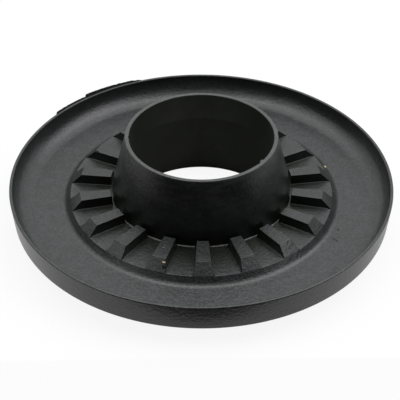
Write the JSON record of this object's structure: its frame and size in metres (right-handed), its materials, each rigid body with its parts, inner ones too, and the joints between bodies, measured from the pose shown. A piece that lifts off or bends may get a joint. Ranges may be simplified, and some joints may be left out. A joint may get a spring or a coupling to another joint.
{
  "type": "coil spring insulator",
  "caption": "Round black rubber seat for a coil spring: raised outer rim, flat disc, ring of radial ribs on a raised floor, and a tapered central collar open right through.",
  "frame": {"origin": "on the axis, in the plane of the flat underside", "axes": "+Z along the axis, up the collar; the first rib points along -Y"},
  "size_m": [0.18, 0.18, 0.046],
  "materials": {
    "rubber": "matt moulded black rubber, slightly dusty, with a soft sheen on the fillets"
  },
  "bodies": {
    "root": {"spring_insulator": "rubber"}
  },
  "joints": []
}
